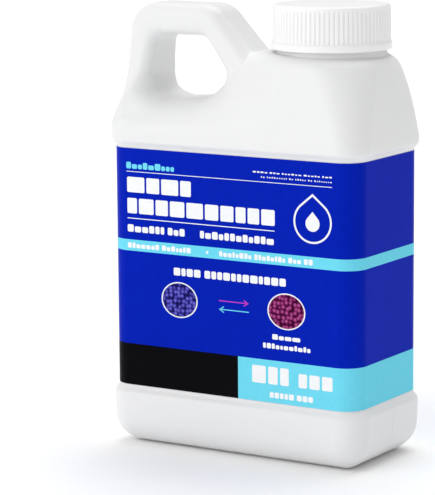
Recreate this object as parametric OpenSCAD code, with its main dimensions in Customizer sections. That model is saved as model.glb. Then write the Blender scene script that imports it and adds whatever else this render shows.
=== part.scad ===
// Five litre blow-moulded drying-bead jug with a moulded-in handle and a ribbed screw cap.
// Millimetres. Z is up, the base stands on z = 0, the front face looks along -Y and
// the neck is on the +X side. The origin is at the middle of the base.

/* [Body] */
// Widest width of the jug, over the foot and the shoulder bulge
body_w = 212; // [206:1:218]
// Widest depth of the jug
body_d = 105; // [100:1:110]
// Plan corner radius of the jug
corner_r = 19.5; // [18:0.5:22]
// Wall thickness of the blown shell
wall = 2; // [1.6:0.1:2.2]
// Edge radius round the bottom
foot_r = 16; // [12:1:16]

/* [Label] */
// Height of the bottom edge of the label
label_z = 45; // [43:1:48]
// Height of the label
label_h = 174.5; // [168:0.5:176]
// Thickness of the label film
label_t = 0.25; // [0.2:0.05:0.4]
// Depth of the label panel below the bulges, measured to the label face
panel_in = 3.5; // [3:0.5:4]

/* [Shoulder and neck] */
// Height of the flat top of the shoulder
shoulder_z = 291; // [289:0.5:292]
// Distance of the neck axis from the middle of the jug
neck_x = 56; // [54:1:57]
// Outside diameter of the neck wall
neck_d = 77.2; // [76:0.2:77.4]
// Bore of the mouth
mouth_d = 73; // [70:0.5:73]
// Height of the rim of the mouth
rim_z = 321.3; // [320.5:0.1:321.5]
// Rise of the thread in one turn
lead = 5.08; // [4.5:0.01:6]

/* [Handle] */
// Thickness of the handle, seen from the front
grip_t = 21; // [19:0.5:21.5]
// Width of the handle from front to back
grip_w = 38; // [34:1:39]

/* [Cap] */
// Diameter over the smooth lower band
band_d = 85.5; // [85:0.1:87]
// Height of the smooth lower band
band_h = 5; // [4:0.5:6]
// Diameter over the ribs at the top
rib_d = 83.2; // [83:0.1:83.6]
// Number of ribs round the cap
ribs = 78; // [60:6:84]
// Bottom edge of the cap
cap_z = 293.6; // [293:0.1:294]
// Height of the cap
cap_h = 31.4; // [31:0.1:32]

/* [Contents] */
// Level of the bead bed
bed_z = 274; // [240:1:276]
// Diameter of the loose beads
bead_d = 4.6; // [3.6:0.2:4.6]

/* [Hidden] */
half_w = body_w / 2;
half_d = body_d / 2;
panel_r = corner_r - panel_in - label_t;
label_top = label_z + label_h;
bulge_z = label_top + 8;
roof_z = 250;
foot_x = corner_r - 1.3 - foot_r;
cap_top = cap_z + cap_h;
crest_r = 39.75;
cap_bore_r = 40.15;
groove_r = rib_d / 2 - 0.5;
lid_t = 1.8;
liner_t = 0.9;
seal_t = 0.35;

// ---- building blocks ------------------------------------------------------

// Half section of the jug wall, measured outwards from the plan corner centre; t is the inset.
module wall_section(t) {
  union() {
    polygon([[0, t], [foot_x, t], [foot_x, foot_r], [foot_x + foot_r - t, foot_r],
      [corner_r - t, label_z - 9], [corner_r - t, label_z - 6.5],
      [panel_r - t, label_z - 0.6], [panel_r - t, label_top + 0.6],
      [corner_r - 0.6 - t, bulge_z - 2], [corner_r - t, bulge_z + 1],
      [corner_r - t, bulge_z + 6.5], [corner_r - 1.2 - t, bulge_z + 11],
      [corner_r - 4.4 - t, bulge_z + 15.5], [corner_r - 10 - t, bulge_z + 19.5],
      [0, roof_z - t]]);
    intersection() {
      translate([foot_x, foot_r]) circle(r = foot_r - t, $fn = 48);
      translate([foot_x, t]) square([foot_r, foot_r - t]);
    }
  }
}

// Sweeps a section round a rounded rectangle w by d with corner radius r.
module swept(w, d, r) {
  x = w / 2 - r;
  y = d / 2 - r;
  translate([x, y, 0]) rotate_extrude(angle = 90, $fn = 40) children();
  translate([-x, y, 0]) rotate([0, 0, 90]) rotate_extrude(angle = 90, $fn = 40) children();
  translate([-x, -y, 0]) rotate([0, 0, 180]) rotate_extrude(angle = 90, $fn = 40) children();
  translate([x, -y, 0]) rotate([0, 0, 270]) rotate_extrude(angle = 90, $fn = 40) children();
  translate([x, y, 0]) rotate([90, 0, 0]) linear_extrude(2 * y) children();
  translate([-x, -y, 0]) rotate([90, 0, 180]) linear_extrude(2 * y) children();
  translate([-x, y, 0]) rotate([90, 0, 90]) linear_extrude(2 * x) children();
  translate([x, -y, 0]) rotate([90, 0, 270]) linear_extrude(2 * x) children();
}

// The lower jug from the foot to the shoulder bulge and the sloping roof beside the neck tower.
module trunk(t) {
  union() {
    swept(body_w, body_d, corner_r) wall_section(t);
    translate([corner_r - half_w, corner_r - half_d, t])
      cube([body_w - 2 * corner_r, body_d - 2 * corner_r, roof_z - 2 * t]);
  }
}

// One plan slice of the neck tower; s runs from 0 at the bulge to 1 at the flat shoulder.
function ease(s) = 0.45 * s + 0.55 * (1 - sqrt(max(0, 1 - s * s)));
module slice(s, t) {
  e = ease(s);
  right = half_w - 0.4 - 4.6 * e - t;
  left = -4 + 16 * e + t;
  deep = half_d - 0.4 - 8.1 * e - t;
  r = min(corner_r + 23 * e - t, deep - 0.2);
  z = shoulder_z - (1 - s) * (shoulder_z - bulge_z - 5);
  for (x = [left + r, right - r]) for (y = [-deep + r, deep - r])
    translate([x, y, z - t - 0.02]) cylinder(r = r, h = 0.02, $fn = 40);
}

module tower(t) {
  hull() {
    slice(0, t);
    slice(0.18, t);
    slice(0.36, t);
    slice(0.54, t);
    slice(0.7, t);
    slice(0.83, t);
    slice(0.93, t);
    slice(1, t);
  }
}

// One straight length of the handle from a to b: the hull of its two rounded ends.
module bar(a, b, t) {
  y = (grip_w - grip_t) / 2;
  hull() {
    for (p = [a, b]) for (side = [-y, y]) translate([p[0], side, p[1]])
      sphere(r = grip_t / 2 - t, $fn = 20);
  }
}

// The handle leaves the roof, runs up, over and down to the neck tower.
module handle(t) {
  left = -half_w + grip_t / 2 + 0.3;
  top = shoulder_z + 31.5 - grip_t / 2;
  bar([left + 1, 238], [left, 272], t);
  bar([left, 272], [left + 0.6, 301], t);
  bar([left + 0.6, 301], [left + 9, top - 0.4], t);
  bar([left + 9, top - 0.4], [-42, top], t);
  bar([-42, top], [-34, top - 3.6], t);
  bar([-34, top - 3.6], [-4, 276], t);
  bar([-4, 276], [-4, 246], t);
}

// The long faces lean in from the bulge to the width of the handle, and the hand gap is cut through.
module saddle(t) {
  difference() {
    hull() {
      for (x = [-half_w + 19.9, -12]) for (y = [-32.5, 32.5]) translate([x, y, 238])
        cylinder(r = 19.5 - t, h = 0.02, $fn = 32);
      for (x = [-half_w + 17.4, -12]) for (y = [-2, 2]) translate([x, y, 279 - t])
        cylinder(r = 14.6 - t, h = 0.02, $fn = 32);
    }
    rotate([90, 0, 0]) linear_extrude(2 * body_d, center = true)
      polygon([[-71 - 0.55 * t, 252 - t], [-27 + 0.55 * t, 252 - t], [-17 + t, 270 - 0.3 * t],
        [-17 + t, 286], [-84.7 - t, 286], [-84.7 - t, 268 - 0.3 * t], [-79 - 0.8 * t, 257 - 0.6 * t]]);
  }
}

module shell_body(t) {
  union() {
    union() {
      trunk(t);
      tower(t);
    }
    union() {
      handle(t);
      saddle(t);
    }
  }
}

// A closed rod with a helical ridge (h > 0) or groove (h < 0) of two turns round its wall.
// z0 and z1 are its ends, zt is where the ridge starts, foot and crest are the ridge widths.
function clamp01(v) = min(1, max(0, v));
function ridge(a, z, zt, foot, crest, turns) = max([for (n = [0:1:2])
  let (d = abs(z - zt - lead * (a + 360 * n) / 360), p = a + 360 * n)
  clamp01((foot / 2 - d) / (foot / 2 - crest / 2)) * clamp01(p / 50)
    * clamp01((turns * 360 - p) / 50)]);
module threaded_rod(r, h, z0, z1, zt, turns, foot, crest) {
  cols = 40;
  step = 0.6;
  span = lead * turns + foot + 1;
  count = ceil(span / step);
  zs = concat([z0], [for (i = [0:1:count]) zt - foot / 2 - 0.5 + i * span / count], [z1]);
  last = len(zs) - 1;
  pts = [for (z = zs) for (c = [0:1:cols - 1]) let (a = c * 360 / cols,
    k = r + h * ridge(a, z, zt, foot, crest, turns)) [k * cos(a), k * sin(a), z]];
  walls = [for (i = [0:1:last - 1]) for (c = [0:1:cols - 1])
    let (p = i * cols + c, q = i * cols + (c + 1) % cols)
    each [[p, p + cols, q], [q, p + cols, q + cols]]];
  floor_face = [for (c = [0:1:cols - 1]) c];
  top_face = [for (c = [cols - 1:-1:0]) last * cols + c];
  polyhedron(pts, concat(walls, [floor_face], [top_face]), convexity = 4);
}

// ---- sub-parts ------------------------------------------------------------

module jug() {
  color("whitesmoke") union() {
    difference() {
      union() {
        shell_body(0);
        translate([neck_x, 0, shoulder_z - 3]) cylinder(r = 41, h = 4.2, $fn = 60);
        translate([neck_x, 0, 0])
          threaded_rod(neck_d / 2, crest_r - neck_d / 2, shoulder_z - 1.5, rim_z, 304, 2, 3, 1);
      }
      shell_body(wall);
      translate([neck_x, 0, shoulder_z - 8]) cylinder(d = mouth_d, h = 60, $fn = 80);
    }
  }
}

module cap() {
  r0 = rib_d / 2;
  color("white") difference() {
    union() {
      translate([neck_x, 0, cap_z]) cylinder(d = band_d, h = band_h - 0.8, $fn = 96);
      translate([neck_x, 0, cap_z + band_h - 0.8])
        cylinder(r1 = band_d / 2, r2 = r0 + 0.5, h = 0.8, $fn = 96);
      translate([neck_x, 0, cap_z + band_h])
        cylinder(r1 = groove_r + 0.15, r2 = groove_r, h = cap_h - band_h - 4.6, $fn = 96);
      translate([neck_x, 0, cap_top - 4.8]) cylinder(r = r0, h = 2.2, $fn = 96);
      translate([neck_x, 0, cap_top - 2.6]) cylinder(r1 = r0, r2 = r0 - 0.7, h = 1.5, $fn = 96);
      translate([neck_x, 0, cap_top - 1.1]) cylinder(r1 = r0 - 0.7, r2 = r0 - 2.2, h = 1.1, $fn = 96);
      for (i = [0:1:ribs - 1]) translate([neck_x, 0, 0]) rotate([0, 0, i * 360 / ribs])
        translate([groove_r - 0.5, -0.95, cap_z + band_h - 1])
          cube([0.97, 1.9, cap_h - band_h - 2.6]);
    }
    translate([neck_x, 0, 0]) threaded_rod(cap_bore_r, neck_d / 2 + 0.45 - cap_bore_r,
      cap_z - 1, cap_top - lid_t, 304 + lead / 2, 2, 2.2, 0.8);
  }
}

module cap_liner() {
  color("gainsboro") translate([neck_x, 0, cap_top - lid_t - 0.35 - liner_t])
    cylinder(r = 39.3, h = liner_t, $fn = 96);
}

module seal_disc() {
  color("silver") translate([neck_x, 0, cap_top - lid_t - 0.35 - liner_t - seal_t])
    cylinder(r = 38.9, h = seal_t, $fn = 96);
}

module label() {
  color("mediumblue") union() {
    swept(body_w, body_d, corner_r)
      translate([panel_r, label_z]) square([label_t, label_h]);
    translate([-66, half_d - panel_in, label_z]) cube([14, label_t, label_h]);
  }
}

module bead_bed() {
  t = wall + 0.5;
  color("royalblue") intersection() {
    union() {
      difference() {
        trunk(t);
        translate([-half_w, -half_d, bulge_z + 8]) cube([body_w, body_d, 60]);
      }
      tower(t + 0.1);
    }
    translate([-half_w, -half_d, wall]) cube([body_w, body_d, bed_z - wall]);
  }
}

module top_beads() {
  color("slateblue") translate([neck_x, 0, bed_z + bead_d / 2]) union() {
    sphere(d = bead_d, $fn = 32);
    for (i = [0:1:5]) rotate([0, 0, i * 60 + 8]) translate([7.4 + (i % 2), 0, 0])
      sphere(d = bead_d, $fn = 32);
    for (i = [0:1:11]) rotate([0, 0, i * 30 + 3]) translate([15.6 + 1.3 * (i % 3), 0, 0])
      sphere(d = bead_d, $fn = 32);
    for (i = [0:1:16]) rotate([0, 0, i * 21.1]) translate([25 + 1.6 * (i % 2), 0, 0])
      sphere(d = bead_d, $fn = 32);
  }
}

jug();
cap();
cap_liner();
seal_disc();
label();
bead_bed();
top_beads();
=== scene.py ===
import bpy
import math
import numpy as np
from mathutils import Matrix, Vector


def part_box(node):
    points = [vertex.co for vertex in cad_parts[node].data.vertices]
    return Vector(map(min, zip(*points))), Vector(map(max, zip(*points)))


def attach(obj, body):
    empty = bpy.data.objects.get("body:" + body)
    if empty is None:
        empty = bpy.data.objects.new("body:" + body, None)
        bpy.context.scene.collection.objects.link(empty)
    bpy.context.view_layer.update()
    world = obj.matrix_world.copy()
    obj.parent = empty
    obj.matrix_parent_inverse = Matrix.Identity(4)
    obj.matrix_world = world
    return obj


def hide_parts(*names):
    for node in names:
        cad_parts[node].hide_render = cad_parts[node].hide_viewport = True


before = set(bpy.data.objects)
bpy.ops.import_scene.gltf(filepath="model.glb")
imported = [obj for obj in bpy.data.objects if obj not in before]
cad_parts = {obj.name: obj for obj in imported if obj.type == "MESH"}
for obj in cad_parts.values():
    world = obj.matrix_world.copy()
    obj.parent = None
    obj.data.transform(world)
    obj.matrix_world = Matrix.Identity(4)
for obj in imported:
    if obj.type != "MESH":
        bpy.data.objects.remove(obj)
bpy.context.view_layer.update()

# ---------------------------------------------------------------------------
# sizes, all in millimetres in the CAD frame
# ---------------------------------------------------------------------------


def box_mm(node):
    lo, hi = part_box(node)
    return [v * 1000 for v in lo], [v * 1000 for v in hi]


cap_lo, cap_hi = box_mm("cap")
lab_lo, lab_hi = box_mm("label")
_, bed_hi = box_mm("bead_bed")
HALF_W, HALF_D, CORNER = 106.0, 52.5, 19.5  # half width, half depth and plan corner radius of the jug
LABEL_Z0, LABEL_Z1 = lab_lo[2], lab_hi[2]
PANEL = 3.75  # how deep the label panel is sunk
BULGE_Z = 230.0  # where the shoulder starts to taper
SHOULDER_Z = 291.0  # top of the shoulder, at the foot of the neck
TAPER = 8.5  # how far the shoulder draws in by its top
HANDLE_TOP = 321.9
OUTLINE_R, WINDOW_R = 22.0, 9.0  # corner radii of the handle's outline and of the gap in it
RIM_Z = 321.4  # rim of the mouth
THREAD_Z = 304.0
LEAD = 5.08  # rise of the thread in one turn
NECK_X = (cap_lo[0] + cap_hi[0]) / 2
CAP_Z, CAP_TOP = cap_lo[2], cap_hi[2]
BED_Z = bed_hi[2]  # level of the beads under the mouth
SHELL = 2.0  # the fill of beads stays this far inside the jug's outside
CELL, BED_CELL = 1.5, 3.0  # cell sizes for the surfaces of the jug and the fill

# ---------------------------------------------------------------------------
# signed distances: how the jug's surface is described
# ---------------------------------------------------------------------------


def mx(a, b):
    return np.maximum(a, b)


def mn(a, b):
    return np.minimum(a, b)


def sstep(t):
    """Smooth step from 0 to 1."""
    t = np.clip(t, 0, 1)
    return t * t * (3 - 2 * t)


def rrect(x, y, a, b, r):
    """Rectangle of half sizes a and b with corner radius r."""
    qx, qy = np.abs(x) - a + r, np.abs(y) - b + r
    return mn(mx(qx, qy), 0) + np.hypot(mx(qx, 0), mx(qy, 0)) - r


def round_and(u, v, r):
    """Where two bodies overlap, with the edge between their faces rounded to radius r."""
    return mn(mx(u + r, v + r), 0) + np.hypot(mx(u + r, 0), mx(v + r, 0)) - r


def smin(a, b, k):
    """Two bodies joined with a blend about k wide."""
    h = mx(k - np.abs(a - b), 0) / k
    return mn(a, b) - h * h * h * k / 6


def polygon_sd(x, z, pts):
    """Distance to a polygon in the x-z plane, negative inside."""
    d = np.full(x.shape, 1e12)
    s = np.ones(x.shape)
    j = len(pts) - 1
    for i in range(len(pts)):
        (px, pz), (qx, qz) = pts[i], pts[j]
        ex, ez = qx - px, qz - pz
        wx, wz = x - px, z - pz
        t = np.clip((wx * ex + wz * ez) / (ex * ex + ez * ez), 0, 1)
        d = mn(d, (wx - ex * t) ** 2 + (wz - ez * t) ** 2)
        c1, c2, c3 = z >= pz, z < qz, ex * wz > ez * wx
        s = np.where((c1 & c2 & c3) | (~c1 & ~c2 & ~c3), -s, s)
        j = i
    return s * np.sqrt(d)


def inset(pts, r):
    """The polygon moved in by r, so that growing it by r gives it back with round corners."""
    out = []
    for i in range(len(pts)):
        p0, p1, p2 = (np.array(pts[k % len(pts)], float) for k in (i - 1, i, i + 1))
        d1 = (p1 - p0) / np.hypot(*(p1 - p0))
        d2 = (p2 - p1) / np.hypot(*(p2 - p1))
        n1, n2 = np.array([-d1[1], d1[0]]), np.array([-d2[1], d2[0]])
        m = n1 + n2
        out.append(p1 + m * r / (m @ n1))
    return out


# side view of the handle with its root in the body, and of the gap for the fingers
OUTLINE = inset([(-106.4, 214), (62, 214), (62, 284), (2.4, 284), (-33.0, HANDLE_TOP),
                 (-102.6, HANDLE_TOP), (-106.2, 294)], OUTLINE_R)
WINDOW = inset([(-71, 252.4), (-36, 255.8), (-17.8, 270.5), (-40.5, 299.2), (-82.0, 299.2),
                (-86.2, 269), (-82.6, 257)], WINDOW_R)


def flow(z, points):
    """A smooth curve through (z, value) points: straight runs with their corners averaged out."""
    zs = np.arange(220.0, 330.0, 0.5)
    v = np.interp(zs, [q[0] for q in points], [q[1] for q in points])
    for _ in range(2):
        v = np.convolve(np.pad(v, 5, "edge"), np.ones(11) / 11, "valid")
    return np.interp(z, zs, v)


# half depth and plan corner radius of the jug on the handle side, from the bulge up into the grip
GRIP_B = [(235, 52.2), (239, 51.0), (243, 48.5), (247.5, 43.5), (252, 38.0), (256, 32.5), (260.5, 28.0),
          (265, 25.0), (269.5, 23.5), (274, 22.3), (278, 21.3), (287, 20.0), (296, 19.3), (320, 19.0)]
GRIP_R = [(235, 19.5), (243, 20.5), (247.5, 19.5), (252, 16.5), (256, 14.0), (260.5, 11.5), (265, 9.6),
          (269.5, 9.2), (274, 9.4), (278, 9.8), (287, 10.2), (320, 10.0)]


def ease(s):
    """The shoulder's taper: 0 at the bulge, 1 at the top, steeper as it goes."""
    s = np.clip(s, 0, 1)
    return 0.45 * s + 0.55 * (1 - np.sqrt(mx(0, 1 - s * s)))


def body_sd(x, y, z):
    """Foot, label panel, shoulder bulge, the neck tower on the right and the lean-in to the grip."""
    up = sstep((z - (LABEL_Z0 - 6.5)) / 6.0)
    down = 1 - sstep((z - LABEL_Z1 - 0.3) / 5.8)
    foot = -3.5 * (1 - np.clip(z / (LABEL_Z0 - 8), 0, 1)) ** 2
    s = np.clip((z - BULGE_Z) / (SHOULDER_Z - BULGE_Z), 0, 1)
    e = ease(s)
    right = HALF_W - TAPER * e
    tower_b = HALF_D - TAPER * e
    grip_b = HALF_D + (flow(z, GRIP_B) - HALF_D) * sstep((z - BULGE_Z - 0.5) / 5.0)
    w = sstep((34 + 12 * s - x) / 60.0)
    b = tower_b + (grip_b - tower_b) * w
    r = mn(np.where(x < -10, flow(z, GRIP_R), CORNER + 28 * e), b - 0.5)
    u = rrect(x - (right - HALF_W) / 2, y, (right + HALF_W) / 2, b, r) - foot + PANEL * up * down
    top = z - SHOULDER_Z + 12.0 * sstep((8.0 - x) / 22.0)
    body = round_and(round_and(u, top, 9.0), -z, 20.0)
    # shallow push-up under the base
    dent = round_and(rrect(x, y, 84, 32, 14), z - 2.2, 5.0)
    return mx(body, -dent)


def handle_sd(x, y, z):
    """The hollow grip, as its side outline with rounded edges."""
    return round_and(polygon_sd(x, z, OUTLINE) - OUTLINE_R, np.abs(y) - flow(z, GRIP_B), flow(z, GRIP_R))


def jug_sd(x, y, z):
    """Signed distance to the outside of the blown shell."""
    b = smin(body_sd(x, y, z), handle_sd(x, y, z), 0.3 + 6.0 * sstep((z - 281.0) / 8.0))
    rim = 9.0 + 13.0 * sstep((273.0 - z) / 20.0)
    return round_and(b, -(polygon_sd(x, z, WINDOW) - WINDOW_R), rim)


def jug_cut_sd(x, y, z):
    """The shell with its mouth and the head space under it opened."""
    d = jug_sd(x, y, z)
    head = round_and(np.hypot(x - NECK_X, y) - 39.0, np.abs(z - 275.0) - 12.5, 3.0)
    bore = mx(np.hypot(x - NECK_X, y) - 37.2, 270.0 - z)
    return mx(mx(d, -head), -bore)


def gradient(f, p, e=0.05):
    """Slope of f at each point, by central differences e apart."""
    g = np.empty_like(p)
    for k in range(3):
        o = np.zeros(3)
        o[k] = e
        g[:, k] = (f(*(p + o).T) - f(*(p - o).T)) / (2 * e)
    return g


# ---------------------------------------------------------------------------
# meshing
# ---------------------------------------------------------------------------


def surface_net(f, lo, hi, h, rounds=4):
    """Quad mesh of f = 0: one vertex a cell, pulled onto the surface and evened out."""
    ax = [np.arange(lo[k], hi[k] + h, h) for k in range(3)]
    vol = np.empty([len(a) for a in ax], np.float32)
    gy, gz = np.meshgrid(ax[1], ax[2], indexing="ij")
    for i in range(0, len(ax[0]), 16):
        xs = ax[0][i:i + 16]
        shape = (len(xs),) + gy.shape
        vol[i:i + 16] = f(np.broadcast_to(xs[:, None, None], shape),
                          np.broadcast_to(gy, shape), np.broadcast_to(gz, shape))
    inside = vol < 0
    n = [len(a) - 1 for a in ax]
    count = np.zeros(n, np.int8)
    total = np.zeros(n + [3], np.float32)
    corner = [(i, j, k) for i in (0, 1) for j in (0, 1) for k in (0, 1)]

    def part(a, c):
        return a[c[0]:c[0] + n[0], c[1]:c[1] + n[1], c[2]:c[2] + n[2]]

    for a in corner:
        for k in range(3):
            if a[k]:
                continue
            b = list(a)
            b[k] = 1
            va, vb = part(vol, a), part(vol, b)
            cross = part(inside, a) != part(inside, b)
            t = np.where(cross, va / np.where(cross, va - vb, 1), 0)
            for m in range(3):
                total[..., m] += np.where(cross, a[m] + (t if m == k else 0), 0)
            count += cross
    used = count > 0
    ids = np.full(n, -1, np.int32)
    ids[used] = np.arange(used.sum())
    cell = np.argwhere(used)
    p = (cell + total[used] / count[used][:, None]) * h + np.array(lo)
    quads = []
    for k in range(3):
        u, w = (k + 1) % 3, (k + 2) % 3
        a = [slice(1, n[m]) for m in range(3)]
        a[k] = slice(0, n[k])
        b = list(a)
        b[k] = slice(1, n[k] + 1)
        s0, s1 = inside[tuple(a)], inside[tuple(b)]
        for sign in (True, False):
            at = np.argwhere((s0 == sign) & (s1 != sign))
            at = at + np.array([0 if m == k else 1 for m in range(3)])
            q = []
            for du, dw in ((0, 0), (1, 0), (1, 1), (0, 1)):
                c = at.copy()
                c[:, u] -= du
                c[:, w] -= dw
                q.append(ids[c[:, 0], c[:, 1], c[:, 2]])
            q = np.stack(q if sign else q[::-1], 1)
            quads.append(q[(q >= 0).all(1)])
    quads = np.concatenate(quads)

    def settle(p, times):
        for _ in range(times):
            g = gradient(f, p)
            d = f(*p.T)
            step = d / mx((g * g).sum(1), 0.2)
            p = p - g * np.clip(step, -h, h)[:, None]
        return p

    p = settle(p.astype(float), 3)
    edges = np.concatenate([quads[:, [i, (i + 1) % 4]] for i in range(4)])
    for _ in range(rounds):
        acc = np.zeros_like(p)
        num = np.zeros(len(p))
        np.add.at(acc, edges[:, 0], p[edges[:, 1]])
        np.add.at(num, edges[:, 0], 1)
        np.add.at(acc, edges[:, 1], p[edges[:, 0]])
        np.add.at(num, edges[:, 1], 1)
        p = settle(p * 0.4 + 0.6 * acc / mx(num, 1)[:, None], 2)
    return p, quads


def make(name, verts, faces, mat, body, smooth=True, normals=None):
    """A mesh object from millimetre points, riding on a body and bound to a material slot."""
    me = bpy.data.meshes.new(name)
    v = np.asarray(verts, float) / 1000
    me.from_pydata(v.tolist(), [], faces.tolist() if hasattr(faces, "tolist") else faces)
    me.validate()
    me.materials.append(mat)
    me.polygons.foreach_set("use_smooth", [smooth] * len(me.polygons))
    if normals is not None and len(normals) == len(me.vertices):
        me.normals_split_custom_set_from_vertices(normals.tolist())
    me.update()
    ob = bpy.data.objects.new(name, me)
    bpy.context.scene.collection.objects.link(ob)
    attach(ob, body)
    return ob


def sharp(ob, degrees=35):
    """Marks edges that fold by more than the given angle as sharp."""
    me = ob.data
    me.update()
    poly = {}
    for p in me.polygons:
        for k in p.edge_keys:
            poly.setdefault(k, []).append(p.normal)
    lim = math.cos(math.radians(degrees))
    for e in me.edges:
        n = poly.get(tuple(sorted(e.vertices)), [])
        if len(n) == 2 and n[0].dot(n[1]) < lim:
            e.use_edge_sharp = True


def lathe(profile, cols, radius=None):
    """Turns (r, z) points about the neck's axis; radius(row, r, z, angles) may vary r."""
    ang = np.arange(cols) * 2 * math.pi / cols
    pts = []
    for i, (r, z) in enumerate(profile):
        rr = np.full(cols, float(r)) if radius is None else radius(i, r, z, ang)
        pts.append(np.stack([NECK_X + rr * np.cos(ang), rr * np.sin(ang), np.full(cols, z)], 1))
    v = np.concatenate(pts)
    c = np.arange(cols)
    nxt = (c + 1) % cols
    faces = []
    for i in range(len(profile) - 1):
        low, high = i * cols, (i + 1) * cols
        faces.append(np.stack([low + c, low + nxt, high + nxt, high + c], 1))
    return v, np.concatenate(faces)


def arc(cx, cz, r, a0, a1, n):
    """Points of an arc from angle a0 to a1 in degrees."""
    return [(cx + r * math.cos(math.radians(a0 + (a1 - a0) * i / n)),
             cz + r * math.sin(math.radians(a0 + (a1 - a0) * i / n))) for i in range(n + 1)]


# ---------------------------------------------------------------------------
# materials
# ---------------------------------------------------------------------------


def new_mat(name):
    """A material, its nodes and its surface shader."""
    m = bpy.data.materials.new(name)
    m.use_nodes = True
    nt = m.node_tree
    b = nt.nodes["Principled BSDF"]
    return m, nt, b


def node(nt, kind, **values):
    """A shader node with its inputs or settings filled in."""
    n = nt.nodes.new(kind)
    for k, v in values.items():
        if k in n.inputs.keys():
            n.inputs[k].default_value = v
        else:
            setattr(n, k, v)
    return n


def ramp(nt, src, stops):
    """A colour ramp driven by src, with (position, colour) stops."""
    r = nt.nodes.new("ShaderNodeValToRGB")
    e = r.color_ramp.elements
    e[0].position, e[0].color = stops[0][0], stops[0][1]
    e[1].position, e[1].color = stops[-1][0], stops[-1][1]
    for pos, col in stops[1:-1]:
        x = e.new(pos)
        x.color = col
    nt.links.new(src, r.inputs["Fac"])
    return r


def grey(v):
    return (v, v, v, 1)


def noise(nt, scale, detail, **values):
    """Noise fixed to the object."""
    n = node(nt, "ShaderNodeTexNoise", Scale=scale, Detail=detail, **values)
    co = node(nt, "ShaderNodeTexCoord")
    nt.links.new(co.outputs["Object"], n.inputs["Vector"])
    return n.outputs["Fac"]


def bump(nt, b, height, strength, distance):
    bp = node(nt, "ShaderNodeBump", Strength=strength, Distance=distance)
    nt.links.new(height, bp.inputs["Height"])
    nt.links.new(bp.outputs["Normal"], b.inputs["Normal"])


def tint(nt, b, src, stops):
    nt.links.new(ramp(nt, src, stops).outputs["Color"], b.inputs["Base Color"])


def plastic(name, base, pale, rough, coarse, fine, height, inside=0.0):
    """Moulded plastic: slight cloudiness in the colour, uneven gloss and a fine skin texture."""
    m, nt, b = new_mat(name)
    big = noise(nt, coarse, 4.0, Roughness=0.55)
    small = noise(nt, fine, 3.0, Roughness=0.6)
    tint(nt, b, big, [(0.3, base), (0.7, pale)])
    gloss = node(nt, "ShaderNodeMapRange")
    gloss.inputs["To Min"].default_value = rough - 0.04
    gloss.inputs["To Max"].default_value = rough + 0.05
    nt.links.new(big, gloss.inputs["Value"])
    nt.links.new(gloss.outputs["Result"], b.inputs["Roughness"])
    bump(nt, b, small, 0.35, height)
    if inside:
        b.inputs["Subsurface Weight"].default_value = inside
        b.inputs["Subsurface Radius"].default_value = (0.006, 0.006, 0.006)
    return m


def ink(name, deep, pale, rough):
    """Printed film: ink with a very slight mottle."""
    m, nt, b = new_mat(name)
    fine, broad = noise(nt, 260.0, 3.0), noise(nt, 9.0, 2.0)
    mixed = node(nt, "ShaderNodeMath", operation="MULTIPLY")
    nt.links.new(fine, mixed.inputs[0])
    nt.links.new(broad, mixed.inputs[1])
    tint(nt, b, mixed.outputs[0], [(0.12, deep), (0.42, pale)])
    b.inputs["Roughness"].default_value = rough
    b.inputs["Specular IOR Level"].default_value = INK_SHINE
    bump(nt, b, broad, 0.12, 0.0004)
    return m


def bead_print(name, dark, light):
    """A printed picture of packed beads: round cells with a bright spot in each."""
    m, nt, b = new_mat(name)
    co = node(nt, "ShaderNodeTexCoord")
    cells = node(nt, "ShaderNodeTexVoronoi", Scale=300.0, Randomness=0.55)
    nt.links.new(co.outputs["Object"], cells.inputs["Vector"])
    middle = [0.5 * (c + d) for c, d in zip(light, dark)]
    edge = [c * 0.35 for c in dark[:3]] + [1]
    stops = [(0.0, light), (0.12, light), (0.3, middle), (0.5, dark), (0.62, edge)]
    tint(nt, b, cells.outputs["Distance"], stops)
    b.inputs["Roughness"].default_value = 0.34
    b.inputs["Specular IOR Level"].default_value = INK_SHINE
    return m


def bead_gel(name):
    """Clear deep-blue glass-like gel."""
    m, nt, b = new_mat(name)
    tint(nt, b, noise(nt, 160.0, 4.0), [(0.3, (0.035, 0.03, 0.42, 1)), (0.7, (0.09, 0.07, 0.62, 1))])
    b.inputs["Roughness"].default_value = 0.09
    b.inputs["Transmission Weight"].default_value = 0.45
    b.inputs["IOR"].default_value = 1.45
    b.inputs["Coat Weight"].default_value = 0.5
    return m


def foil(name):
    """Bright crinkled foil."""
    m, nt, b = new_mat(name)
    crinkle = noise(nt, 120.0, 6.0)
    tint(nt, b, crinkle, [(0.35, (0.60, 0.61, 0.63, 1)), (0.65, (0.78, 0.79, 0.80, 1))])
    b.inputs["Metallic"].default_value = 1.0
    b.inputs["Roughness"].default_value = 0.32
    bump(nt, b, crinkle, 0.3, 0.0006)
    return m


INK_SHINE = 0.02
mat_jug = plastic("jug_hdpe", (0.785, 0.79, 0.795, 1), grey(0.80), 0.38, 18, 900, 0.00006, inside=0.12)
mat_cap = plastic("cap_polypropylene", (0.87, 0.87, 0.875, 1), grey(0.89), 0.34, 30, 1400, 0.00004)
mat_liner = plastic("liner_foam", (0.72, 0.73, 0.72, 1), (0.80, 0.80, 0.79, 1), 0.72, 60, 1800, 0.0002)
mat_foil = foil("seal_foil")
mat_bead = bead_gel("silica_bead_blue")
mat_blue = ink("label_ink_blue", (0.0005, 0.013, 0.40, 1), (0.001, 0.016, 0.45, 1), 0.34)
mat_cyan = ink("label_ink_cyan", (0.15, 0.66, 0.83, 1), (0.17, 0.69, 0.86, 1), 0.34)
mat_white = ink("label_ink_white", (0.84, 0.86, 0.88, 1), (0.90, 0.91, 0.92, 1), 0.36)
mat_black = ink("label_ink_black", (0.002, 0.002, 0.003, 1), (0.004, 0.004, 0.005, 1), 0.34)
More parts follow.
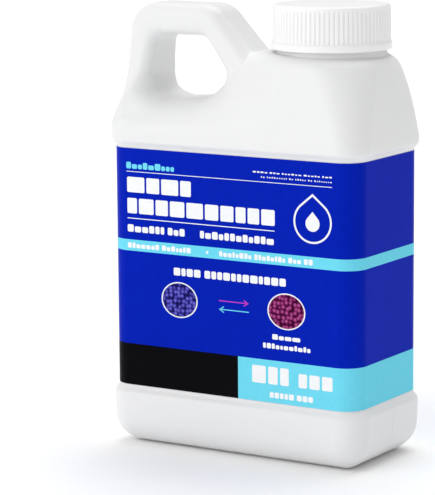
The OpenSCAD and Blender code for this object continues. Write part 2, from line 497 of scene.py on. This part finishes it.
mat_pink = ink("label_ink_pink", (0.56, 0.05, 0.56, 1), (0.64, 0.09, 0.64, 1), 0.36)
mat_dots_blue = bead_print("label_picture_blue", (0.02, 0.016, 0.22, 1), (0.15, 0.14, 0.62, 1))
mat_dots_pink = bead_print("label_picture_pink", (0.12, 0.004, 0.06, 1), (0.46, 0.08, 0.28, 1))

# ---------------------------------------------------------------------------
# the blown shell
# ---------------------------------------------------------------------------

BOX_LO, BOX_HI = (-HALF_W - 4, -HALF_D - 3.5, -3), (HALF_W + 4, HALF_D + 3.5, 327)  # room round the jug
p, quads = surface_net(jug_cut_sd, BOX_LO, BOX_HI, CELL)
g = gradient(jug_cut_sd, p, 0.02)
g /= np.linalg.norm(g, axis=1, keepdims=True) + 1e-9
jug = make("jug_shell", p, quads, mat_jug, "jug_body", normals=g)
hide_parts("jug")


def bed_sd(x, y, z):
    """The fill of beads: follows the inside of the shell, level under the mouth, stops below the grip."""
    grip_side = BULGE_Z + 6.0
    top = grip_side + (BED_Z - grip_side) * sstep((x + 34.0) / 30.0)
    return mx(mx(jug_sd(x, y, z) + SHELL, z - top), 1.8 - z)


p, quads = surface_net(bed_sd, BOX_LO, (BOX_HI[0], BOX_HI[1], SHOULDER_Z), BED_CELL, 1)
bed = make("bead_bed_fill", p, quads, mat_bead, "jug_body")
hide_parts("bead_bed")

# neck ring: flared foot, straight wall, rounded rim and the bore
OUT_R, IN_R, LIP = 38.6, 36.5, 0.7
neck_line = [(40.2, SHOULDER_Z - 2.6), (39.5, SHOULDER_Z - 1.4), (39.0, SHOULDER_Z + 0.2)]
neck_line += [(OUT_R, SHOULDER_Z + 1.6), (OUT_R, SHOULDER_Z + 3.8), (OUT_R, 300), (OUT_R, 310)]
neck_line += arc(OUT_R - LIP, RIM_Z - LIP, LIP, 0, 90, 4) + arc(IN_R + LIP, RIM_Z - LIP, LIP, 90, 180, 4)
neck_line += [(IN_R, 310), (IN_R, 296), (IN_R, SHOULDER_Z - 3), (IN_R + 0.8, SHOULDER_Z - 4.5)]
v, f = lathe(neck_line, 144)
neck = make("neck_ring", v, f, mat_jug, "jug_body")
sharp(neck)


def thread(r, reach, z0, turns, foot, crest):
    """Helical ridge with rounded ends; reach > 0 stands outwards from r, < 0 inwards."""
    steps = 72  # a turn
    n = turns * steps
    sec = [(-foot / 2, -0.25), (-foot / 2 * 0.86, 0.12), (-crest / 2, 0.86), (-crest / 2 * 0.4, 1.0),
           (crest / 2 * 0.4, 1.0), (crest / 2, 0.86), (foot / 2 * 0.86, 0.12), (foot / 2, -0.25)]
    v = []
    for i in range(n + 1):
        a = i / steps * 2 * math.pi
        k = math.sin(min(1.0, min(i, n - i) / 9.0) * math.pi / 2)
        for dz, s in sec:
            rad = r + reach * (s * k - 0.3 * (1 - k))
            z = z0 + LEAD * i / steps + dz * (0.35 + 0.65 * k)
            v.append((NECK_X + rad * math.cos(a), rad * math.sin(a), z))
    m = len(sec)
    f = []
    for i in range(n):
        for j in range(m - 1):
            q = (i * m + j, (i + 1) * m + j, (i + 1) * m + j + 1, i * m + j + 1)
            f.append(q if reach > 0 else q[::-1])
    return np.array(v), f


v, f = thread(OUT_R, 1.15, THREAD_Z, 2, 3.0, 1.0)
make("neck_thread", v, f, mat_jug, "jug_body")

# ---------------------------------------------------------------------------
# mould parting line: a hair-fine ridge in the middle plane, outside and in the handle gap
# ---------------------------------------------------------------------------


def onto_jug(q):
    """Points moved along the slope onto the jug's surface."""
    g = gradient(jug_sd, q)
    return q - g * (jug_sd(*q.T) / mx((g * g).sum(1), 0.2))[:, None]


def profile_line(rough):
    """Points of the middle-plane outline near the rough path, about 1 mm apart."""
    pts = []
    for (x0, z0), (x1, z1) in zip(rough, rough[1:]):
        n = max(2, int(math.hypot(x1 - x0, z1 - z0)))
        pts += [(x0 + (x1 - x0) * i / n, z0 + (z1 - z0) * i / n) for i in range(n)]
    q = np.array([(x, 0.0, z) for x, z in pts])
    for _ in range(8):
        q = onto_jug(q)
        q[:, 1] = 0
    for _ in range(2):
        q[1:-1] = (q[:-2] + q[1:-1] * 2 + q[2:]) / 4
        q = onto_jug(q)
    return q


def ridge_on(name, rough, width=0.55, high=0.16):
    """A low ridge along the outline near a rough path."""
    q = profile_line(rough)
    g = gradient(jug_sd, q, 0.4)
    g[:, 1] = 0
    g /= np.linalg.norm(g, axis=1, keepdims=True) + 1e-9
    side = np.array([0, 1.0, 0])
    inner, sunk = (0.45 * width, 0.75 * high), -0.05
    section = [(-width, sunk), (-inner[0], inner[1]), (0, high), inner, (width, sunk)]
    v = np.stack([q + side * off + g * up for off, up in section], 1).reshape(-1, 3)
    m = len(section)
    f = [(i * m + k, i * m + k + 1, (i + 1) * m + k + 1, (i + 1) * m + k)
         for i in range(len(q) - 1) for k in range(m - 1)]
    make(name, v, f, mat_jug, "jug_body")


GAP_PATH = [(-71, 257), (-30, 257), (-19, 271), (-40, 297), (-82, 297), (-83, 270), (-71, 257)]
GRIP_PATH = [(12, 296), (-4, 296), (-33, 326), (-104, 326), (-110, 300), (-110, 215)]
ridge_on("parting_line_left", GRIP_PATH, width=0.7, high=0.24)
ridge_on("parting_line_right", [(99, 293), (107, 286), (110, 250), (110, 222)], high=0.07)
ridge_on("parting_line_gap", GAP_PATH)
for tag, to in (("left", -1), ("right", 1)):
    ridge_on("parting_line_foot_" + tag, [(109 * to, 43), (109 * to, 16), (98 * to, -2), (86 * to, -4)])

# ---------------------------------------------------------------------------
# cap
# ---------------------------------------------------------------------------

RIBS = 78
BAND_R = (cap_hi[0] - cap_lo[0]) / 2
BAND_TOP = CAP_Z + 5.0
RIB_TOP, RIB_LOW = 41.5, 41.95  # radius over the ribs at their top and at their foot
DEPTH = 0.9  # of the grooves between the ribs
ROUND = 2.4  # edge of the top
BORE_R = 40.15
PIN = 0.02  # radius of the pinhole left in the middle of a flat disc
RIB_Z0, RIB_Z1 = BAND_TOP + 0.35, CAP_TOP - 2.9
FACE_Z, UNDER = CAP_TOP - 0.25, CAP_TOP - 1.8  # sunk middle of the top, and its underside

low_part = arc(40.9, CAP_Z + 0.5, 0.5, 180, 270, 3) + arc(BAND_R - 0.6, CAP_Z + 0.6, 0.6, 270, 360, 4)
low_part += [(BAND_R, CAP_Z + 1.6), (BAND_R, BAND_TOP - 1.2)]
low_part += arc(BAND_R - 0.5, BAND_TOP - 0.8, 0.5, 0, 70, 3) + [(RIB_LOW + 0.35, BAND_TOP + 0.05)]
rib_part = [(RIB_LOW + (RIB_TOP - RIB_LOW) * i / 18, RIB_Z0 + (RIB_Z1 - RIB_Z0) * i / 18) for i in range(19)]
top_part = [(RIB_TOP, CAP_TOP - 2.6)] + arc(RIB_TOP - ROUND, CAP_TOP - ROUND, ROUND, 0, 90, 8)[1:]
top_part += [(36.6, CAP_TOP - 0.02), (36.0, CAP_TOP - 0.18)] + [(r, FACE_Z) for r in (35.0, 20, 6, PIN)]


def rib_radius(i, r, z, ang):
    """Radius round one row of the cap: grooves that run out at both ends of the ribs."""
    if not len(low_part) <= i < len(low_part) + len(rib_part):
        return np.full(len(ang), float(r))
    ends = min(1.0, (z - RIB_Z0) / 1.2, (RIB_Z1 - z) / 1.5) if RIB_Z1 > z > RIB_Z0 else 0.0
    ends = math.sin(max(0.0, ends) * math.pi / 2)
    w = np.abs(np.cos(ang * RIBS / 2))
    groove = 1 - np.clip(w / 0.62, 0, 1) ** 2.2
    return r - DEPTH * ends * groove


v, f = lathe(low_part + rib_part + top_part, RIBS * 12, radius=rib_radius)
cap = make("cap_shell", v, f, mat_cap, "cap_body")
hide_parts("cap")
# inside of the cap: underside of the top and the threaded wall
inside_line = [(r, UNDER) for r in (PIN, 30, 39.4)] + [(40.0, UNDER - 0.6), (BORE_R, UNDER - 2)]
inside_line += [(BORE_R, 310), (BORE_R, CAP_Z + 1.6), (40.4, CAP_Z + 0.5)]
v, f = lathe(inside_line, 144)
make("cap_inside", v, f, mat_cap, "cap_body")
v, f = thread(BORE_R, -1.1, THREAD_Z + LEAD / 2, 2, 2.2, 0.8)
make("cap_thread", v, f, mat_cap, "cap_body")

for part, mat in (("cap_liner", mat_liner), ("seal_disc", mat_foil)):
    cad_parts[part].data.materials.clear()
    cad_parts[part].data.materials.append(mat)

# ---------------------------------------------------------------------------
# label
# ---------------------------------------------------------------------------

LX, LY, LR = lab_hi[0], lab_hi[1], 16.0  # half sizes and corner radius of the label's plan
FX, FY = LX - LR, LY - LR  # half lengths of its flat sides
QUARTER = LR * math.pi / 2
RUNS = [2 * FX, QUARTER, 2 * FY, QUARTER] * 2  # front, corner, right end, corner, back and so on
LOOP = sum(RUNS)


def wrap(s, lift=0.0):
    """Point on the label at distance s along the loop from the left end of the flat front."""
    s = s % LOOP
    for k, length in enumerate(RUNS):
        if s <= length:
            break
        s -= length
    r = LR + lift
    if k == 0:
        return -FX + s, -FY - r, 0.0, -1.0
    if k == 2:
        return FX + r, -FY + s, 1.0, 0.0
    if k == 4:
        return FX - s, FY + r, 0.0, 1.0
    if k == 6:
        return -FX - r, FY - s, -1.0, 0.0
    a = s / LR + {1: -math.pi / 2, 3: 0, 5: math.pi / 2, 7: math.pi}[k]
    cx, cy = {1: (FX, -FY), 3: (FX, FY), 5: (-FX, FY), 7: (-FX, -FY)}[k]
    return cx + r * math.cos(a), cy + r * math.sin(a), math.cos(a), math.sin(a)


def stations(s0, s1):
    """Distances along the loop, close together round the corners."""
    marks = [s0, s1]
    for turn in (-1, 0, 1):
        at = turn * LOOP
        for k, length in enumerate(RUNS):
            n = 14 if k % 2 else max(1, int(length / 12))
            marks += [at + length * i / n for i in range(n + 1)]
            at += length
    return sorted(set(round(m, 4) for m in marks if s0 - 1e-6 <= m <= s1 + 1e-6))


def band(name, s0, s1, za, zb, lift, mat, rows=1, edges=False):
    """A strip of film from s0 to s1 along the loop; edges turns its two long edges in."""
    ss = stations(s0, s1)
    levels = [(za + (zb - za) * i / rows, lift) for i in range(rows + 1)]
    if edges:
        levels = [(za, lift - 0.24)] + levels + [(zb, lift - 0.24)]
    v, nrm = [], []
    for s in ss:
        for z, out in levels:
            x, y, nx, ny = wrap(s, out)
            v.append((x, y, z))
            nrm.append((nx, ny, 0.0))
    m = len(levels)
    f = [(i * m + j, (i + 1) * m + j, (i + 1) * m + j + 1, i * m + j + 1)
         for i in range(len(ss) - 1) for j in range(m - 1)]
    return make(name, v, f, mat, "jug_body", normals=np.array(nrm))


def flat_print(name, shapes, lift, mat):
    """Printed shapes on the flat front: each is a list of (s, z) corners, counter-clockwise."""
    v, f = [], []
    for pts in shapes:
        f.append(tuple(range(len(v), len(v) + len(pts))))
        v += [(-FX + s, -LY - lift, z) for s, z in pts]
    return make(name, v, f, mat, "jug_body", smooth=False)


def rbox(s0, z0, s1, z1, r):
    """Block with rounded corners."""
    r = min(r, (s1 - s0) / 2.01, (z1 - z0) / 2.01)
    left, right, low, high = s0 + r, s1 - r, z0 + r, z1 - r
    out = []
    for cx, cz, a in ((right, low, 270), (right, high, 0), (left, high, 90), (left, low, 180)):
        out += arc(cx, cz, r, a, a + 90, 4)
    return out


def disc(cs, cz, r, n):
    return arc(cs, cz, r, 0, 360, n)[:-1]


def oval(cs, cz, r):
    """Outline of a bead picture: a little wider than it is high."""
    return [(u, cz + (w - cz) * 0.85) for u, w in disc(cs, cz, r, 64)]


def ring(outer, inner_pts):
    """A ring between two loops of the same count, as quads."""
    n = len(outer)
    return [[outer[i], outer[(i + 1) % n], inner_pts[(i + 1) % n], inner_pts[i]] for i in range(n)]


def words(s0, s1, z0, z1, counts, gap, space, seed, tall=0.0):
    """Greeked text: a row of plain rounded blocks in word groups that fill s0 to s1."""
    rnd = np.random.RandomState(seed)
    units = [[0.75 + 0.6 * rnd.rand() for _ in range(c)] for c in counts]
    total = sum(sum(u) for u in units)
    fixed = gap * sum(c - 1 for c in counts) + space * (len(counts) - 1)
    k = (s1 - s0 - fixed) / total
    out, s = [], s0
    h = z1 - z0
    for i, u in enumerate(units):
        for j, w in enumerate(u):
            up = tall * h if tall and rnd.rand() < 0.6 and j else 0
            out.append(rbox(s, z0, s + w * k, z1 - up, min(0.22 * h, 1.1)))
            s += w * k + gap
        s += space - gap
    return out


def droplet(cs, cz, r, tip, n=64):
    """Outline of a drop: a round belly whose sides run straight up to the tip."""
    a = math.asin(r / tip)
    straight = 0.15  # share of the points on each side
    shoulder = (r * math.cos(a), r * math.sin(a))
    out = []
    for i in range(n):
        t = i / n
        if straight <= t <= 1 - straight:
            ang = math.pi - a + (math.pi + 2 * a) * (t - straight) / (1 - 2 * straight)
            out.append((r * math.cos(ang), r * math.sin(ang)))
            continue
        k = min(t, 1 - t) / straight
        side = -1 if t < 0.5 else 1
        out.append((side * shoulder[0] * k, tip + (shoulder[1] - tip) * k))
    return [(cs + x, cz + z) for x, z in out]


def arrow(s0, s1, z, flip):
    """A thin shaft with an open head at s1, or at s0 when flipped."""
    length = s1 - s0
    barb, tip, notch = length - 4.2, (length, 0), (length - 1.6, 0)
    shaft = [(0, -0.35), (length - 1.2, -0.35), (length - 1.2, 0.35), (0, 0.35)]
    upper = [tip, (barb, 2.5), (barb, 1.7), notch]
    lower = [tip, notch, (barb, -1.7), (barb, -2.5)]
    return [[((s1 - x) if flip else (s0 + x), z - y if flip else z + y) for x, y in poly]
            for poly in (shaft, upper, lower)]


label = band("label_film", 0, LOOP, LABEL_Z0, LABEL_Z1, 0.0, mat_blue, rows=6, edges=True)
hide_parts("label")
BACK = sum(RUNS[:4]) + FX  # middle of the back
SPLIT = 93.6  # where the dark block ends on the front
SEAM, FLAP = BACK + FX * 0.35, 13.0  # start and width of the overlap on the back
STRIPE_Z0, STRIPE_Z1 = LABEL_Z1 - 75.0, LABEL_Z1 - 66.8
LOWER_Z0, LOWER_Z1 = LABEL_Z0 + 0.05, LABEL_Z1 - 143.8
band("label_seam", SEAM, SEAM + FLAP, LABEL_Z0, LABEL_Z1, 0.16, mat_blue, edges=True)
# light stripe all round; in the lower band a dark block on the front left and a light one round the right
band("label_stripe", 0, LOOP, STRIPE_Z0, STRIPE_Z1, 0.05, mat_cyan)
band("label_lower_light", SPLIT, BACK, LOWER_Z0, LOWER_Z1, 0.05, mat_cyan)
band("label_lower_dark", BACK - LOOP, SPLIT, LOWER_Z0, LOWER_Z1, 0.05, mat_black)
# the same bands printed on the overlap
band("label_seam_stripe", SEAM, SEAM + FLAP, STRIPE_Z0, STRIPE_Z1, 0.21, mat_cyan)
band("label_seam_dark", SEAM, SEAM + FLAP, LOWER_Z0, LOWER_Z1, 0.21, mat_black)

MID = FX  # middle of the front, as a distance along the loop
ON_FILM, ON_BAND = 0.08, 0.11  # how far prints lie above the label

top_word = words(MID - 86.5, MID - 45.5, 204.6, 209.4, [9], 0.7, 2.0, 3, 0.3)
flat_print("print_small_light", top_word, ON_FILM, mat_cyan)
white = [rbox(MID - 86.5, 202.3, MID + 84.0, 202.75, 0.1)]
white += words(MID + 20.4, MID + 83.8, 208.8, 209.9, [4, 3, 6, 5, 3], 0.9, 1.9, 4, 0.25)
white += words(MID + 27.0, MID + 83.8, 205.5, 206.6, [2, 9, 2, 5, 2, 8], 0.9, 1.9, 5, 0.25)
white += words(MID - 86.0, MID - 31.4, 187.4, 198.6, [4], 1.7, 3.0, 6)
white += words(MID - 86.0, MID + 38.0, 172.0, 183.2, [10], 1.7, 3.0, 7)
white += [rbox(MID - 86.0, 168.1, MID + 37.8, 168.7, 0.1)]
white += words(MID - 86.0, MID - 37.0, 158.4, 163.8, [6, 3], 0.9, 3.0, 8, 0.22)
white += words(MID - 24.0, MID + 37.2, 158.4, 163.8, [12], 0.9, 3.0, 9, 0.22)
white += words(MID - 46.6, MID + 46.8, 129.6, 135.2, [4, 12], 0.95, 3.4, 10)
white += words(MID + 35.6, MID + 58.4, 91.0, 94.8, [4], 0.7, 2.0, 11, 0.25)
white += words(MID + 28.0, MID + 66.6, 84.2, 88.0, [11], 0.7, 2.0, 12, 0.25)
flat_print("print_white", white, ON_FILM, mat_white)
stripe = words(MID - 86.0, MID - 32.0, 146.6, 150.6, [7, 7], 0.7, 2.4, 13, 0.25)
stripe += [disc(MID - 18.0, 148.6, 1.1, 20)]
stripe += words(MID - 8.0, MID + 68.6, 146.6, 150.6, [8, 8, 3, 2], 0.7, 2.4, 14, 0.25)
flat_print("print_stripe_words", stripe, ON_BAND, mat_white)
large = words(MID + 18.8, MID + 49.0, 58.4, 71.0, [3], 2.0, 3.0, 15)
large += words(MID + 57.0, MID + 84.4, 58.4, 68.4, [3], 1.8, 3.0, 16)
flat_print("print_weight", large, ON_BAND, mat_white)
small = words(MID + 33.4, MID + 68.6, 48.6, 52.8, [5, 3], 0.8, 2.4, 17)
flat_print("print_weight_small", small, ON_BAND, mat_white)

DROP_S, DROP_Z = MID + 68.5, 177.2
drop = ring(droplet(DROP_S, DROP_Z, 15.3, 19.8), droplet(DROP_S, DROP_Z, 13.9, 17.9))
drop += [droplet(DROP_S, DROP_Z - 1.2, 5.6, 8.4)]
flat_print("print_droplet", drop, ON_FILM, mat_white)

# bead pictures and the arrows between them
PICTURE_Z = 111.8
for tag, cs, mat in (("blue", MID - 41.9, mat_dots_blue), ("pink", MID + 47.2, mat_dots_pink)):
    rim = ring(oval(cs, PICTURE_Z, 15.4), oval(cs, PICTURE_Z, 14.4))
    flat_print("picture_ring_" + tag, rim, 0.10, mat_white)
    flat_print("picture_" + tag, [oval(cs, PICTURE_Z, 14.6)], ON_FILM, mat)
flat_print("arrow_pink", arrow(MID - 8.6, MID + 16.4, PICTURE_Z + 2.8, False), ON_FILM, mat_pink)
flat_print("arrow_light", arrow(MID - 8.6, MID + 16.4, PICTURE_Z - 3.4, True), ON_FILM, mat_cyan)

# ---------------------------------------------------------------------------
# beads seen through the mouth
# ---------------------------------------------------------------------------


def icosphere(sub):
    """Unit sphere of triangles, split sub times from twenty."""
    t = (1 + 5 ** 0.5) / 2
    v = [(-1, t, 0), (1, t, 0), (-1, -t, 0), (1, -t, 0), (0, -1, t), (0, 1, t),
         (0, -1, -t), (0, 1, -t), (t, 0, -1), (t, 0, 1), (-t, 0, -1), (-t, 0, 1)]
    f = [(0, 11, 5), (0, 5, 1), (0, 1, 7), (0, 7, 10), (0, 10, 11),
         (1, 5, 9), (5, 11, 4), (11, 10, 2), (10, 7, 6), (7, 1, 8),
         (3, 9, 4), (3, 4, 2), (3, 2, 6), (3, 6, 8), (3, 8, 9),
         (4, 9, 5), (2, 4, 11), (6, 2, 10), (8, 6, 7), (9, 8, 1)]
    v = [tuple(np.array(q) / np.linalg.norm(q)) for q in v]
    for _ in range(sub):
        mid, split = {}, []

        def middle(a, b):
            k = (min(a, b), max(a, b))
            if k not in mid:
                q = np.array(v[a]) + np.array(v[b])
                v.append(tuple(q / np.linalg.norm(q)))
                mid[k] = len(v) - 1
            return mid[k]

        for a, b, c in f:
            ab, bc, ca = middle(a, b), middle(b, c), middle(c, a)
            split += [(a, ab, ca), (b, bc, ab), (c, ca, bc), (ab, bc, ca)]
        f = split
    return np.array(v), np.array(f)


ball_v, ball_f = icosphere(2)
rng = np.random.RandomState(21)
step = 4.5  # from bead to bead
spots = []
for layer_z, keep in ((BED_Z - 1.2, 1.0), (BED_Z + 1.9, 0.42)):
    for i in range(-11, 12):
        for j in range(-11, 12):
            x = (i + 0.5 * (j % 2)) * step + rng.uniform(-0.25, 0.25)
            y = j * step * 0.87 + rng.uniform(-0.25, 0.25)
            r = 2.05 + 0.3 * rng.rand()
            if math.hypot(x, y) < IN_R - 0.2 and rng.rand() < keep:
                spots.append((NECK_X + x, y, layer_z + rng.uniform(-0.5, 0.4), r))
vs, fs = [], []
for i, (x, y, z, r) in enumerate(spots):
    vs.append(ball_v * r * np.array([1, 1, 0.96]) + np.array([x, y, z]))
    fs.append(ball_f + i * len(ball_v))
beads = make("bead_layer", np.concatenate(vs), np.concatenate(fs), mat_bead, "jug_body")
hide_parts("top_beads")

# ---------------------------------------------------------------------------
# floor, light and camera
# ---------------------------------------------------------------------------

def paper(name):
    """Matt white paper, very slightly uneven."""
    m, nt, b = new_mat(name)
    tint(nt, b, noise(nt, 3.0, 3.0), [(0.3, grey(0.98)), (0.7, grey(0.99))])
    b.inputs["Roughness"].default_value = 0.9
    b.inputs["Specular IOR Level"].default_value = 0.1
    return m


HALF_FLOOR = 6.0  # metres
corners = [(-HALF_FLOOR, -HALF_FLOOR, 0), (HALF_FLOOR, -HALF_FLOOR, 0), (HALF_FLOOR, HALF_FLOOR, 0),
           (-HALF_FLOOR, HALF_FLOOR, 0)]
me = bpy.data.meshes.new("floor")
me.from_pydata(corners, [], [(0, 1, 2, 3)])
me.materials.append(paper("floor_paper"))
floor = bpy.data.objects.new("floor", me)
bpy.context.scene.collection.objects.link(floor)

# white surroundings, a little brighter towards the left
world = bpy.context.scene.world or bpy.data.worlds.new("studio")
bpy.context.scene.world = world
world.use_nodes = True
wt = world.node_tree
sky = wt.nodes.get("Background") or wt.nodes.new("ShaderNodeBackground")
sky.inputs["Strength"].default_value = 0.86
direction = node(wt, "ShaderNodeTexCoord")
split = node(wt, "ShaderNodeSeparateXYZ")
across = node(wt, "ShaderNodeMapRange")
across.inputs["From Min"].default_value = -1.0
wt.links.new(direction.outputs["Generated"], split.inputs["Vector"])
wt.links.new(split.outputs["X"], across.inputs["Value"])
side = ramp(wt, across.outputs["Result"], [(0.0, grey(0.78)), (1.0, grey(0.63))])
wt.links.new(side.outputs["Color"], sky.inputs["Color"])


def sun(name, towards, energy, soft):
    """A very soft sun shining towards a direction; soft is its width in degrees."""
    light_data = bpy.data.lights.new(name, "SUN")
    light_data.energy, light_data.angle = energy, math.radians(soft)
    ob = bpy.data.objects.new(name, light_data)
    bpy.context.scene.collection.objects.link(ob)
    ob.rotation_euler = Vector(towards).to_track_quat("-Z", "Y").to_euler()


sun("key", (0.42, 0.82, -0.45), 1.05, 60)
sun("top", (0.05, -0.4, -1.0), 1.35, 50)

cam_data = bpy.data.cameras.new("camera")
cam_data.sensor_fit = "AUTO"
cam_data.sensor_width = 36.0
cam_data.lens = 186.2
cam_data.clip_end = 50
cam = bpy.data.objects.new("camera", cam_data)
bpy.context.scene.collection.objects.link(cam)
# fitted to the photo: the camera's own axes, then where it stands, in metres
right = Vector((0.84845, 0.52922, -0.00804))
up = Vector((-0.08239, 0.14705, 0.98571))
back = Vector((0.52283, -0.83565, 0.16836))
rot = Matrix((right, up, back)).transposed()
cam.matrix_world = Matrix.Translation((0.9416, -1.5692, 0.4591)) @ rot.to_4x4()
bpy.context.scene.camera = cam
bpy.context.scene.view_settings.view_transform = "Standard"
